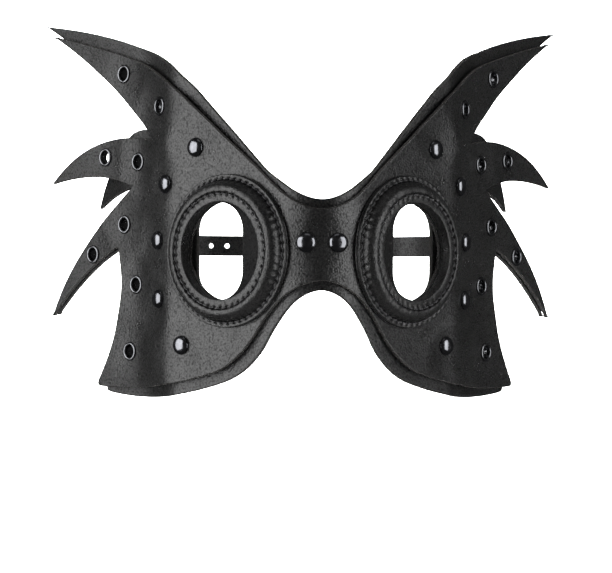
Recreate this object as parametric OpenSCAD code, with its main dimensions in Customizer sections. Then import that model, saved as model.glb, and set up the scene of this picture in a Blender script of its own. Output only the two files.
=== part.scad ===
// A layered leather half mask with two stitched goggle rings, three feather
// points on each side, riveted layers, eyelets and a buckled head strap.
// Millimetres, +Z up, the face of the mask looks along -Y.  The origin is on
// the back of the bridge, at the height of the two bridge rivets.
//
// Both leather layers are flat patterns wrapped round upright bends only, so a
// place on the mask is given as [s, z]: s is measured along the outer surface
// from the middle of the bridge, and z is the height.

/* [Leather] */
// Thickness of each leather layer
leather_t = 2.4; // [1.8:0.1:2.6]
// Air left between the two layers
layer_gap = 0.4; // [0.2:0.1:0.6]
// Tilt of the flat cheek that carries the eye ring, in degrees
cheek_angle = 41; // [38:1:46]
// Steepest tilt of the mask, beside the temple, in degrees
temple_angle = 60; // [56:1:64]
// Tilt of the feather points, in degrees
wing_angle = 48; // [44:1:54]

/* [Eye rings] */
// Distance of the ring's centre from the middle of the bridge, along s
ring_s = 56; // [54:0.5:57]
// Height of the ring's centre
ring_z = -4; // [-6:0.5:-2]
// Radius of the opening inside the ring
ring_hole_r = 25; // [23:0.5:25.5]
// Outer radius of the ring's flat flange
ring_r = 39.3; // [38.5:0.1:40]
// Height of the padded roll above the panel
roll_h = 8.3; // [8:0.1:10]
// Thickness of the cover leather on the ring
cover_t = 1.2; // [0.8:0.1:1.4]
// Number of stitches in the outer row
outer_stitches_n = 58; // [48:1:60]
// Number of stitches in the inner row
inner_stitches_n = 45; // [36:1:46]

/* [Fasteners] */
// Diameter of a domed rivet cap
rivet_d = 10; // [8:0.5:10.5]
// Diameter of a rivet post
post_d = 3; // [2.5:0.1:3.4]
// Clear bore of an eyelet
eyelet_bore = 6.4; // [5.6:0.1:6.8]
// Outer diameter of an eyelet flange
eyelet_d = 10.2; // [9.8:0.1:10.8]

/* [Head strap] */
// Width of the strap
strap_w = 12; // [11:0.5:14]
// Thickness of the strap leather
strap_t = 2; // [1.6:0.1:2.2]
// Length of the long side run of each strap
strap_side = 70; // [60:1:85]
// Diameter of the buckle's wire
wire_d = 2.5; // [2.2:0.1:2.6]
// Length of the buckle, from bar centre to bar centre
buckle_l = 18; // [16:0.5:20]

/* [Hidden] */

$fn = 48;
stack = 2 * leather_t + layer_gap;
back_d = leather_t + layer_gap;
run_gap = 0.08;
post_play = 0.08;

// Bends of the mask: [length, tilt at its end], from the middle outward
mask_bends = [[24, cheek_angle], [67, cheek_angle], [10, temple_angle],
              [14, temple_angle], [14, wing_angle], [90, wing_angle]];
// The temple tab leaves the wing and turns further back
tab_bends = [[24, cheek_angle], [67, cheek_angle], [10, temple_angle],
             [14, temple_angle], [14, wing_angle], [5, wing_angle],
             [12, 63], [50, 63]];
// Bends of a strap, measured from its rivet
strap_bends = [[14, temple_angle], [24, 90], [strap_side, 108], [55, 180], [40, 180]];

bridge_rivets = [[8.2, 0]];
side_rivets = [[78, 50], [99.5, 31.5], [107, 2], [106, -29], [87, -53]];
strap_rivet = 2;
eyelets = [[139, 92.5], [106, 73], [154, 48], [127, 44.5], [138, 11], [164, -5],
           [128, -21.5], [133, -57.5]];
// The eyelet that holds the front layer alone
front_only = 2;

black_leather = "#222222";
black_thread = "#161616";
black_foam = "#303030";
gunmetal = "#4a4b4f";
dark_steel = "#5c5d61";

// ---- the wrap -------------------------------------------------------------

// Chord of a bend of length l that turns from tilt a to tilt b
function chord(l, a, b) = a == b ? l : l * sin((b - a) / 2) / ((b - a) * PI / 360);

// Walk along bends to distance s: [[x, y], tilt]
function walk(bends, s, a = 0, i = 0, p = [0, 0]) =
    let (l = min(s, bends[i][0]),
         b = a + (bends[i][1] - a) * l / bends[i][0],
         q = p + chord(l, a, b) * [cos((a + b) / 2), sin((a + b) / 2)])
    s <= bends[i][0] || i == len(bends) - 1 ? [q, b]
        : walk(bends, s - bends[i][0], bends[i][1], i + 1, q);

// A point at distance s and depth d behind the surface, on either side
function wrap(bends, s, d) =
    let (w = walk(bends, abs(s)), p = w[0] + d * [-sin(w[1]), cos(w[1])])
    [sign(s) * p[0], p[1] - stack];

function tilt(s) = walk(mask_bends, s)[1];

// Where each bend ends, and stations along the turning ones
function reach(bends, i) = i < 0 ? 0 : bends[i][0] + reach(bends, i - 1);
function stations(bends, a0 = 0, step = 3) =
    [for (i = [0 : len(bends) - 1])
        let (turn = abs(bends[i][1] - (i == 0 ? a0 : bends[i - 1][1])),
             n = max(1, ceil(turn / step)))
        for (k = [1 : n]) reach(bends, i - 1) + bends[i][0] * k / n];

// Points of a curve from a to b, drawn toward c
function curve(a, c, b, n = 10) =
    [for (k = [1 : n]) let (t = k / n) (1 - t) * (1 - t) * a + 2 * t * (1 - t) * c + t * t * b];

// Stand on the outer surface at [s, z]: x along s, y up, z outward
module on_mask(at) {
    p = wrap(mask_bends, at[0], 0);
    translate([p[0], p[1], at[1]]) rotate([90, 0, tilt(at[0])]) children();
}

module both_sides() {
    children();
    mirror([1, 0, 0]) children();
}

// ---- leather layers -------------------------------------------------------

front_half = concat(
    [[0, 17]],
    curve([0, 17], [14, 17], [36, 37]),
    curve([82, 74], [106, 93], [135, 101]),
    curve([135, 101], [164, 110], [195, 116]),
    [[196, 115]],
    curve([196, 115], [150, 92], [112, 55]),
    curve([112, 55], [165, 66], [197, 37]),
    [[197, 35.5]],
    curve([197, 35.5], [158, 42], [131, 31]),
    curve([131, 31], [182, -2], [197, -37]),
    [[196, -38]],
    curve([196, -38], [172, -12], [143, -1]),
    curve([143, -1], [133, -35], [159, -74]),
    curve([159, -74], [161, -77], [157, -77.1], 4),
    curve([157, -77.1], [105, -79], [62, -66]),
    curve([62, -66], [49, -60.5], [38, -46]),
    curve([38, -46], [22, -22], [0, -19]));

back_half = concat(
    [[0, 22]],
    curve([0, 22], [12, 22], [34, 37]),
    curve([78, 78], [98, 97], [132, 107]),
    curve([132, 107], [165, 118], [206, 123]),
    [[206, 122]],
    curve([206, 122], [152, 95], [113, 57]),
    [[131, 31]],
    curve([131, 31], [180, 0], [198, -37]),
    [[197, -38]],
    curve([197, -38], [172, -13], [144, -2]),
    curve([144, -2], [136, -37], [156, -77]),
    curve([156, -77], [157, -80], [153, -80.3], 4),
    curve([153, -80.3], [108, -86], [62, -72]),
    curve([62, -72], [46, -67], [35, -53]),
    curve([35, -53], [18, -25], [0, -24]));

tab_half = concat(
    [[110, 40], [110, 52], [113, 57]],
    curve([113, 57], [130, 70], [150, 50]),
    curve([150, 50], [166, 39], [173, 22]),
    [[172, 21]],
    curve([172, 21], [155, 29], [131, 31]),
    [[126, 36]]);

// The eye opening of the back layer, taller than it is wide
back_eye_s = 64;
back_eye_w = 30;
back_eye_h = 50;

// A strip of leather from depth d0 to depth d1, following bends
module strip(bends, d0, d1, h) {
    marks = stations(bends);
    every = concat([for (i = [len(marks) - 1 : -1 : 0]) -marks[i]], [0], marks);
    translate([0, 0, -h])
        linear_extrude(2 * h)
            polygon(concat([for (s = every) wrap(bends, s, d0)],
                           [for (i = [len(every) - 1 : -1 : 0]) wrap(bends, every[i], d1)]));
}

// A flat pattern's outline, pushed through the mask from front to back
module pushed_outline(half, d) {
    side = [for (p = half) [wrap(mask_bends, p[0], d)[0], p[1]]];
    both = concat(side, [for (i = [len(side) - 2 : -1 : 1]) [-side[i][0], side[i][1]]]);
    rotate([90, 0, 0])
        linear_extrude(500, center = true)
            polygon(both);
}

module layer(half, d) {
    intersection() {
        strip(mask_bends, d, d + leather_t, 150);
        pushed_outline(half, d);
    }
}

module temple_tab() {
    intersection() {
        strip(tab_bends, back_d, back_d + leather_t, 100);
        rotate([90, 0, 90])
            linear_extrude(200)
                polygon([for (p = tab_half) [wrap(tab_bends, p[0], back_d)[1], p[1]]]);
    }
}

module fastener_holes() {
    for (at = concat(bridge_rivets, side_rivets))
        on_mask(at) cylinder(d = post_d + 2 * post_play, h = 60, center = true);
    for (at = eyelets)
        on_mask(at) cylinder(d = eyelet_bore + 1.1, h = 40, center = true);
}

module front_panel() {
    color(black_leather)
        difference() {
            layer(front_half, 0);
            both_sides() {
                on_mask([ring_s, ring_z]) cylinder(r = ring_hole_r + 0.5, h = 40, center = true, $fn = 96);
                fastener_holes();
            }
        }
}

module back_eye_opening() {
    r = back_eye_w / 2;
    for (up = [-1, 1])
        on_mask([back_eye_s, ring_z + up * (back_eye_h / 2 - r)])
            cylinder(r = r, h = 40, center = true, $fn = 64);
    on_mask([back_eye_s, ring_z])
        cube([back_eye_w, back_eye_h - back_eye_w, 40], center = true);
}

module back_panel() {
    color(black_leather)
        difference() {
            union() {
                layer(back_half, back_d);
                both_sides() temple_tab();
            }
            both_sides() {
                back_eye_opening();
                fastener_holes();
            }
        }
}

// ---- eye rings ------------------------------------------------------------

base_t = 1.6;
flange_top = base_t + cover_t;
lip_top = 7.6;
roll_in = 30;
roll_mid = 31.2;
roll_out = 36.1;
wall_t = 1.2;
thread_d = 0.8;
stitch_l = 2.9;
outer_row_r = 36.9;
inner_row_r = 29.3;

// Outer face of the roll, moved in by t, from the flange to the lip.  With
// ease, that much air is left all round inside it.
function roll_face(t, ease = 0) =
    concat([for (a = [0 : 10 : 90])
               [roll_mid + (roll_out - roll_mid - t - ease) * cos(a),
                flange_top + (roll_h - flange_top) * sin(a) - t - ease]],
           [for (a = [80 : -10 : 0])
               [roll_mid - (roll_mid - roll_in + t - ease) * cos(a),
                lip_top + (roll_h - lip_top) * sin(a) - t - ease]]);

module eye_ring_base() {
    color(black_leather)
        difference() {
            cylinder(r = ring_r, h = base_t, $fn = 96);
            translate([0, 0, -1]) cylinder(r = ring_hole_r, h = base_t + 2, $fn = 96);
        }
}

module eye_ring_cover() {
    color(black_leather)
        rotate_extrude($fn = 96)
            polygon(concat([[ring_r, base_t], [ring_r, flange_top]],
                           roll_face(0),
                           [[ring_hole_r, lip_top], [ring_hole_r, base_t],
                            [ring_hole_r + wall_t, base_t], [ring_hole_r + wall_t, lip_top - cover_t]],
                           [for (i = [18 : -1 : 0]) roll_face(cover_t)[i]]));
}

module eye_ring_pad() {
    ease = 0.1;
    face = roll_face(cover_t, ease);
    color(black_foam)
        rotate_extrude($fn = 96)
            polygon(concat([for (p = face) if (p[1] > base_t + ease) p],
                           [[ring_hole_r + wall_t + ease, lip_top - cover_t - ease],
                            [ring_hole_r + wall_t + ease, base_t],
                            [roll_out - cover_t - 2 * ease, base_t]]));
}

module stitches(n, r, z) {
    color(black_thread)
        for (i = [0 : n - 1])
            rotate([0, 0, 360 * i / n])
                translate([r, 0, z + thread_d / 2])
                    rotate([90, 0, 0])
                        cylinder(d = thread_d, h = stitch_l, center = true, $fn = 16);
}

// ---- rivets and eyelets ---------------------------------------------------

cap_rim = 0.6;
cap_dome = 2.4;
foot_r = 4.5;
foot_t = 1.3;
// How far the foot and the eyelet flange curl away from the leather at their rims
curl = 0.45;

// Domed cap with a blind socket for the post, standing on z = 0
module rivet_cap() {
    r = rivet_d / 2;
    ball = (r * r + cap_dome * cap_dome) / (2 * cap_dome);
    color(gunmetal)
        difference() {
            union() {
                cylinder(r = r, h = cap_rim);
                intersection() {
                    translate([0, 0, cap_rim + cap_dome - ball]) sphere(r = ball, $fn = 64);
                    translate([0, 0, cap_rim]) cylinder(r = r, h = 2 * cap_dome);
                }
            }
            translate([0, 0, -1]) cylinder(d = post_d + 0.04, h = 2.8);
        }
}

// Post with a dished foot, for leather of thickness t below z = 0
module rivet_post(t) {
    color(gunmetal)
        rotate_extrude()
            polygon(concat([[0, 1.7], [post_d / 2, 1.7]],
                           [for (r = [post_d / 2 : (foot_r - post_d / 2) / 4 : foot_r + 0.01])
                               [r, -t - curl * pow(r / foot_r, 2)]],
                           [[foot_r, -t - 1], [foot_r - 0.5, -t - foot_t], [0, -t - foot_t]]));
}

module side_rivet_caps() {
    for (at = side_rivets) on_mask(at) rivet_cap();
}

module side_rivet_posts() {
    for (i = [0 : len(side_rivets) - 1])
        on_mask(side_rivets[i])
            rivet_post(i == strap_rivet ? stack + strap_t + 2 * run_gap : stack);
}

module bridge_rivet_caps() {
    both_sides() for (at = bridge_rivets) on_mask(at) rivet_cap();
}

module bridge_rivet_posts() {
    both_sides() for (at = bridge_rivets) on_mask(at) rivet_post(stack);
}

washer_t = 0.6;

// Depth of leather that eyelet i holds
function grip(i) = i == front_only ? leather_t : stack;

// Barrel with a rolled front flange and a rolled back lip, for grip g
module eyelet(g) {
    bore = eyelet_bore / 2;
    wall = 0.45;
    rim = eyelet_d / 2;
    back = -g - 0.3 - washer_t;
    color(dark_steel)
        rotate_extrude()
            polygon([[bore, 0.7], [bore + 0.4, 1.1], [rim - 1, 1.1], [rim - 0.3, 0.8], [rim, curl - 0.1],
                     [rim - 0.3, 0.3], [bore + wall + 0.3, 0.14], [bore + wall, 0.1],
                     [bore + wall, back], [bore + 1.2, back], [bore + 1.1, back - 0.35],
                     [bore + 0.4, back - 0.5], [bore, back - 0.2]]);
}

module eyelet_washer(g) {
    color(dark_steel)
        translate([0, 0, -g - 0.3 - washer_t])
            difference() {
                cylinder(d = eyelet_d, h = washer_t);
                translate([0, 0, -1]) cylinder(d = eyelet_bore + 1, h = washer_t + 2);
            }
}

module side_eyelets() {
    for (i = [0 : len(eyelets) - 1]) on_mask(eyelets[i]) eyelet(grip(i));
}

module side_eyelet_washers() {
    for (i = [0 : len(eyelets) - 1]) on_mask(eyelets[i]) eyelet_washer(grip(i));
}

// ---- head strap -----------------------------------------------------------

strap_start = wrap(mask_bends, side_rivets[strap_rivet][0], stack + run_gap);
strap_z = side_rivets[strap_rivet][1];
arc_end = reach(strap_bends, 3);

// A point of the strap at distance s from its rivet and depth d
function strap_point(s, d) =
    let (w = walk(strap_bends, s, temple_angle))
    strap_start + w[0] + d * [-sin(w[1]), cos(w[1])];

// Where the buckle's heel bar stands
bar_run = 25;
bar_turn = wire_d / 2 + 0.1;
bar = strap_point(arc_end + bar_run, 0) - [0, bar_turn + strap_t];
tail_run = 13;
tail_holes = 5;
tail_hole_d = 3;
tail_margin = 16;
tail_pitch = 10;

module strap_run(length) {
    marks = [for (s = stations(strap_bends, temple_angle)) if (s < arc_end + 0.01) s];
    every = concat([0], marks, [arc_end + length]);
    translate([0, 0, strap_z - strap_w / 2])
        linear_extrude(strap_w)
            polygon(concat([for (s = every) strap_point(s, 0)],
                           [for (i = [len(every) - 1 : -1 : 0]) strap_point(every[i], strap_t)]));
}

module strap_head() {
    on_mask(side_rivets[strap_rivet])
        translate([0, 0, -stack - run_gap - strap_t])
            cylinder(d = strap_w, h = strap_t);
}

module strap_head_hole() {
    on_mask(side_rivets[strap_rivet])
        cylinder(d = post_d + 2 * post_play, h = 60, center = true);
}

// Stand on the inner face of the strap at distance s from its rivet: z outward
module on_strap(s) {
    p = strap_point(s, strap_t);
    translate([p[0], p[1], strap_z])
        rotate([90, 0, walk(strap_bends, s, temple_angle)[1]]) children();
}

module strap_left() {
    color(black_leather)
        mirror([1, 0, 0])
            difference() {
                union() {
                    strap_head();
                    strap_run(tail_run - strap_w / 2);
                    on_strap(arc_end + tail_run - strap_w / 2) cylinder(d = strap_w, h = strap_t);
                }
                strap_head_hole();
                for (i = [0 : tail_holes - 1])
                    on_strap(arc_end + tail_run - tail_margin - tail_pitch * i)
                        cylinder(d = tail_hole_d, h = 20, center = true);
            }
}

// The strap's end turned round the heel bar and laid back on itself
module strap_fold() {
    r0 = bar_turn;
    r1 = bar_turn + strap_t;
    meet = 9;
    end = 22;
    low = r0 - 0.05;
    translate([bar[0], bar[1], strap_z - strap_w / 2])
        linear_extrude(strap_w) {
            difference() {
                circle(r = r1);
                circle(r = r0);
                translate([0, -2 * r1]) square([2 * r1, 4 * r1]);
            }
            polygon([[0, -r1], [0, -r0], [meet, low], [end, low], [end, low - strap_t], [meet, low - strap_t]]);
        }
}

module strap_right() {
    color(black_leather)
        difference() {
            union() {
                strap_head();
                strap_run(bar_run);
                strap_fold();
            }
            strap_head_hole();
            translate([bar[0] - 6, bar[1] - 6, strap_z - 1.8]) cube([14, 12, 3.6]);
            translate([bar[0] + fold_rivet_x, bar[1], strap_z])
                rotate([90, 0, 0])
                    cylinder(d = small_rivet * post_d + 2 * post_play, h = 20, center = true);
        }
}

// The fold's rivet is a smaller one, to this scale
small_rivet = 0.7;
fold_rivet_x = 17;
keeper_x = 9.2;
keeper_w = 4;
keeper_t = 1.2;

// Loop of leather round the fold, with room for the other strap's tail
module strap_keeper() {
    ease = 0.15;
    low = bar_turn - 0.05 - strap_t - ease;
    high = bar_turn + 2 * strap_t + 0.6;
    half = strap_w / 2 + ease;
    color(black_leather)
        translate([bar[0] + keeper_x, bar[1], strap_z])
            difference() {
                translate([0, low - keeper_t, -half - keeper_t])
                    cube([keeper_w, high - low + 2 * keeper_t, 2 * (half + keeper_t)]);
                translate([-1, low, -half]) cube([keeper_w + 2, high - low, 2 * half]);
            }
}

// Stand on the outer face of the fold, over its rivet
module on_fold() {
    translate([bar[0] + fold_rivet_x, bar[1] + bar_turn + strap_t, strap_z])
        rotate([-90, 0, 0]) children();
}

module buckle_rivet_cap() {
    on_fold() scale(small_rivet) rivet_cap();
}

module buckle_rivet_post() {
    on_fold() scale(small_rivet) rivet_post((2 * strap_t + 0.05) / small_rivet);
}

arm_z = strap_w / 2 + 2.6;
roller_d = 4.2;

module buckle_frame() {
    color(gunmetal)
        translate([bar[0], bar[1], strap_z]) {
            for (x = [0, -buckle_l])
                translate([x, 0, 0]) cylinder(d = wire_d, h = 2 * arm_z, center = true);
            for (up = [-1, 1]) {
                translate([-buckle_l, 0, up * arm_z])
                    rotate([0, 90, 0]) cylinder(d = wire_d, h = buckle_l);
                for (x = [0, -buckle_l])
                    translate([x, 0, up * arm_z]) sphere(d = wire_d, $fn = 48);
            }
        }
}

module buckle_roller() {
    color(dark_steel)
        translate([bar[0] - buckle_l, bar[1], strap_z])
            difference() {
                cylinder(d = roller_d, h = strap_w + 1, center = true);
                cylinder(d = wire_d + 0.12, h = strap_w + 3, center = true);
            }
}

module buckle_prong() {
    eye_d = wire_d + 2.4;
    shank_d = 2;
    length = buckle_l + 3;
    lift = roller_d / 2 + shank_d / 2 + 0.1;
    start = 1.6;
    color(dark_steel)
        translate([bar[0], bar[1], strap_z])
            difference() {
                union() {
                    cylinder(d = eye_d, h = 3, center = true);
                    translate([0, start, 0])
                        rotate([0, -90, 0])
                            rotate([-atan((lift - start) / buckle_l), 0, 0]) {
                                cylinder(d = shank_d, h = length);
                                translate([0, 0, length]) sphere(d = shank_d, $fn = 32);
                            }
                }
                cylinder(d = wire_d + 0.12, h = 10, center = true);
            }
}

module left() {
    mirror([1, 0, 0]) children();
}

front_panel();
back_panel();
left() on_mask([ring_s, ring_z]) eye_ring_base();  // eye_ring_base_left
on_mask([ring_s, ring_z]) eye_ring_base();  // eye_ring_base_right
left() on_mask([ring_s, ring_z]) eye_ring_pad();  // eye_ring_pad_left
on_mask([ring_s, ring_z]) eye_ring_pad();  // eye_ring_pad_right
left() on_mask([ring_s, ring_z]) eye_ring_cover();  // eye_ring_cover_left
on_mask([ring_s, ring_z]) eye_ring_cover();  // eye_ring_cover_right
left() on_mask([ring_s, ring_z]) stitches(outer_stitches_n, outer_row_r, flange_top);  // outer_stitches_left
on_mask([ring_s, ring_z]) stitches(outer_stitches_n, outer_row_r, flange_top);  // outer_stitches_right
left() on_mask([ring_s, ring_z]) stitches(inner_stitches_n, inner_row_r, lip_top);  // inner_stitches_left
on_mask([ring_s, ring_z]) stitches(inner_stitches_n, inner_row_r, lip_top);  // inner_stitches_right
bridge_rivet_caps();
bridge_rivet_posts();
left() side_rivet_caps();  // side_rivet_caps_left
side_rivet_caps();  // side_rivet_caps_right
left() side_rivet_posts();  // side_rivet_posts_left
side_rivet_posts();  // side_rivet_posts_right
left() side_eyelets();  // eyelets_left
side_eyelets();  // eyelets_right
left() side_eyelet_washers();  // eyelet_washers_left
side_eyelet_washers();  // eyelet_washers_right
strap_left();
strap_right();
strap_keeper();
buckle_rivet_cap();
buckle_rivet_post();
buckle_frame();
buckle_roller();
buckle_prong();
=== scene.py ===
"""Looks of a layered leather goggle mask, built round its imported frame.

Sizes are in millimetres where a name ends in _mm, and in metres elsewhere.  A place on the mask is
(s, z): s runs along the outer surface from the middle of the bridge, z is the height.
"""

import math

import bmesh
import bpy
import numpy as np
from mathutils import Matrix, Vector, noise
from mathutils.geometry import delaunay_2d_cdt


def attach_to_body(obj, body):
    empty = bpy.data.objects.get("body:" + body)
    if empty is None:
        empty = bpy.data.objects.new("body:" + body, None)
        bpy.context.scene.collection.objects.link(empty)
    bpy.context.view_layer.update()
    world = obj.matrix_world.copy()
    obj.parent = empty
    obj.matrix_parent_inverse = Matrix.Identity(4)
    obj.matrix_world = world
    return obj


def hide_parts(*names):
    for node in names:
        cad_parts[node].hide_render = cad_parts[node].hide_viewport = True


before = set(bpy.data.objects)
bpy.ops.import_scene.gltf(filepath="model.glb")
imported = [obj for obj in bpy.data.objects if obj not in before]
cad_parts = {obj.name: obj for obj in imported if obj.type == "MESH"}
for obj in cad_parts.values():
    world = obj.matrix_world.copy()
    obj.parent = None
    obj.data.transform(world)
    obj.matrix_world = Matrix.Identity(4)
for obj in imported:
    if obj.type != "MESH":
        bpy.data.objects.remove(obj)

bl_info = {
    "name": "Leather Goggle Mask",
    "version": (1, 0, 0),
    "blender": (4, 5, 0),
    "location": "View3D > Sidebar > Mask",
    "description": "Builds the visible pieces of a layered leather mask round its packed frame",
    "category": "Add Mesh",
}

MM = 0.001
SIDES = {"left": -1, "right": 1}

# ---- the wrap of the mask, as the frame has it -----------------------------

# Each bend is (length in mm, tilt at its end in degrees), from the middle outward
MASK_BENDS = [(24, 41), (67, 41), (10, 60), (14, 60), (14, 48), (90, 48)]
TAB_BENDS = MASK_BENDS[:5] + [(5, 48), (12, 63), (50, 63)]
STRAP_BENDS = [(14, 60), (24, 90), (70, 108), (55, 180), (40, 180)]

LEATHER_T = 2.4
BACK_D = 2.8
STACK = 5.2
RING_AT = (56, -4)
# Where the back layer's eye opening is, how wide, and how high
BACK_EYE = (64, 30, 50)
BRIDGE_RIVETS = [(8.2, 0)]
SIDE_RIVETS = [(78, 50), (99.5, 31.5), (107, 2), (106, -29), (87, -53)]
STRAP_RIVET = 2
EYELETS = [(139, 92.5), (106, 73), (154, 48), (127, 44.5),
           (138, 11), (164, -5), (128, -21.5), (133, -57.5)]
FRONT_ONLY = 2


def chord(length, a, b):
    """Chord of a bend of that length which turns from tilt a to tilt b."""
    half = math.radians(b - a) / 2
    return length if abs(half) < 1e-9 else length * math.sin(half) / half


def walk(bends, s, tilt=0.0):
    """(x, y, tilt) at distance s along the bends."""
    x = y = 0.0
    for i, (length, end) in enumerate(bends):
        part = s if i == len(bends) - 1 else min(s, length)
        turned = tilt + (end - tilt) * part / length
        middle = math.radians((tilt + turned) / 2)
        run = chord(part, tilt, turned)
        x += run * math.cos(middle)
        y += run * math.sin(middle)
        if s <= length:
            return x, y, turned
        s -= length
        tilt = end
    return x, y, tilt


def wrap(s, z, d, bends=MASK_BENDS):
    """Point in mm at distance s on either side, height z and depth d behind the outer surface."""
    x, y, tilt = walk(bends, abs(s))
    a = math.radians(tilt)
    side = -1 if s < 0 else 1
    return Vector((side * (x - d * math.sin(a)), y + d * math.cos(a) - STACK, z))


def stand(side, at):
    """Matrix in metres that stands a piece on the mask: its +Z points out of the leather."""
    s, z = at
    tilt = math.radians(walk(MASK_BENDS, s)[2])
    n = Vector((side * math.sin(tilt), -math.cos(tilt), 0))
    up = Vector((0, 0, 1))
    t = up.cross(n)
    place = Matrix((t, up, n)).transposed().to_4x4()
    place.translation = wrap(side * s, z, 0) * MM
    return place


# ---- outlines ---------------------------------------------------------------


def curve(a, c, b, n):
    """Points after a on a curve to b, drawn toward c."""
    a, c, b = Vector(a), Vector(c), Vector(b)
    steps = [k / n for k in range(1, n + 1)]
    return [tuple((1 - t) ** 2 * a + 2 * t * (1 - t) * c + t * t * b) for t in steps]


def drawn(start, legs):
    """Points of an outline.  A leg is (pull, end, steps); one with no pull only moves the pen."""
    points, at = [start], start
    for pull, end, steps in legs:
        if pull:
            points += curve(at, pull, end, steps)
        at = end
    return points


def front_outline():
    return drawn((0, 17), [
        ((14, 17), (36, 37), 14), (None, (82, 74), 0), ((106, 93), (135, 101), 14),
        ((164, 110), (199, 117.5), 14), ((150, 92), (112, 55), 24), ((165, 66), (200, 34.5), 24),
        ((158, 42), (131, 31), 20), ((182, -2), (199, -40), 22), ((172, -12), (143, -1), 18),
        ((133, -35), (159, -74), 20), ((161, -77), (157, -77.1), 4), ((105, -79), (62, -66), 20),
        ((49, -60.5), (38, -46), 14), ((22, -22), (0, -19), 14)])


def back_outline():
    return drawn((0, 22), [
        ((12, 22), (34, 37), 14), (None, (78, 78), 0), ((98, 97), (132, 107), 14),
        ((165, 118), (210, 124.5), 14), ((152, 95), (113, 57), 24), ((130, 70), (150, 50), 14),
        ((166, 39), (175, 20), 14), ((155, 29), (131, 31), 14), ((180, 0), (199, -39.5), 22),
        ((172, -13), (144, -2), 18), ((136, -37), (156, -77), 20), ((157, -80), (153, -80.3), 4),
        ((108, -86), (62, -72), 20), ((46, -67), (35, -53), 14), ((18, -25), (0, -24), 14)])


def whole(half):
    """Both halves of a pattern that is the same on each side of its middle."""
    return half + [(-s, z) for s, z in reversed(half[1:-1])]


def circle(centre, radius, n):
    turn = [math.tau * k / n for k in range(n)]
    return [(centre[0] + radius * math.cos(a), centre[1] + radius * math.sin(a)) for a in turn]


def slot_hole(centre, width, height, n):
    """Round-ended hole, longer in the second direction when height is larger."""
    r = min(width, height) / 2
    dx, dy = width / 2 - r, height / 2 - r
    points = []
    for k in range(n):
        a = math.tau * (k + 0.5) / n
        shift = (math.copysign(dx, math.cos(a)), math.copysign(dy, math.sin(a)))
        points.append((centre[0] + shift[0] + r * math.cos(a), centre[1] + shift[1] + r * math.sin(a)))
    return points


def evenly(loop, pitch):
    """A closed loop's points, spread at about that pitch."""
    p = np.array(loop, float)
    step = np.linalg.norm(np.roll(p, -1, 0) - p, axis=1)
    along = np.concatenate([[0], np.cumsum(step)])
    n = max(8, int(round(along[-1] / pitch)))
    at = np.arange(n) * along[-1] / n
    closed = np.vstack([p, p[:1]])
    return np.stack([np.interp(at, along, closed[:, k]) for k in (0, 1)], 1)


def eased(loop, rounds):
    """A closed loop with its corners rounded off."""
    for _ in range(rounds):
        loop = (np.roll(loop, 1, 0) + 2 * loop + np.roll(loop, -1, 0)) / 4
    return loop


def area(loop):
    """Area of a closed loop, positive when it runs to the left."""
    x, y = loop[:, 0], loop[:, 1]
    return 0.5 * np.sum(x * np.roll(y, -1) - np.roll(x, -1) * y)


def inset(loop, by):
    """A closed loop moved to its left by that much."""
    along = np.roll(loop, -1, 0) - np.roll(loop, 1, 0)
    along /= np.linalg.norm(along, axis=1)[:, None] + 1e-12
    return loop + by * np.stack([-along[:, 1], along[:, 0]], 1)


def inside(points, loop):
    """True for each point inside a closed loop."""
    x, y = points[:, 0][:, None], points[:, 1][:, None]
    x0, y0 = loop[:, 0][None], loop[:, 1][None]
    x1, y1 = np.roll(loop[:, 0], -1)[None], np.roll(loop[:, 1], -1)[None]
    cross = (y0 > y) != (y1 > y)
    slope = (x1 - x0) / np.where(y1 == y0, 1e-12, y1 - y0)
    return (np.sum(cross & (x < x0 + (y - y0) * slope), axis=1) % 2).astype(bool)


# ---- meshes -----------------------------------------------------------------


def new_piece(name, verts_mm, faces, material, marks=None):
    """A piece from points in mm.  marks holds named values per point that the material reads."""
    mesh = bpy.data.meshes.new(name)
    mesh.from_pydata([tuple(Vector(v) * MM) for v in verts_mm], [], [tuple(f) for f in faces])
    return finish_piece(name, mesh, material, marks)


def finish_piece(name, mesh, material, marks=None):
    """A piece from a mesh, with smooth shading and one material."""
    mesh.validate()
    mesh.shade_smooth()
    for label, values in (marks or {}).items():
        mark = mesh.attributes.new(label, "FLOAT", "POINT")
        mark.data.foreach_set("value", np.array(values, np.float32))
    mesh.materials.clear()
    mesh.materials.append(material)
    piece = bpy.data.objects.new(name, mesh)
    bpy.context.scene.collection.objects.link(piece)
    return piece


def attach(piece, body, slot, *nodes):
    """The piece rides on a body and stands for those nodes, which are hidden. The slot is not used."""
    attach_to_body(piece, body)
    if nodes:
        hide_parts(*nodes)


# How a cut leather edge turns from the face to the back: (inset, depth as a share of the thickness)
EDGE_TURN = [(0.9, 0), (0.5, 0), (0.24, 0.04), (0.07, 0.13), (0, 0.27), (0, 0.5),
             (0, 0.73), (0.07, 0.87), (0.24, 0.96), (0.5, 1), (0.9, 1)]


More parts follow.
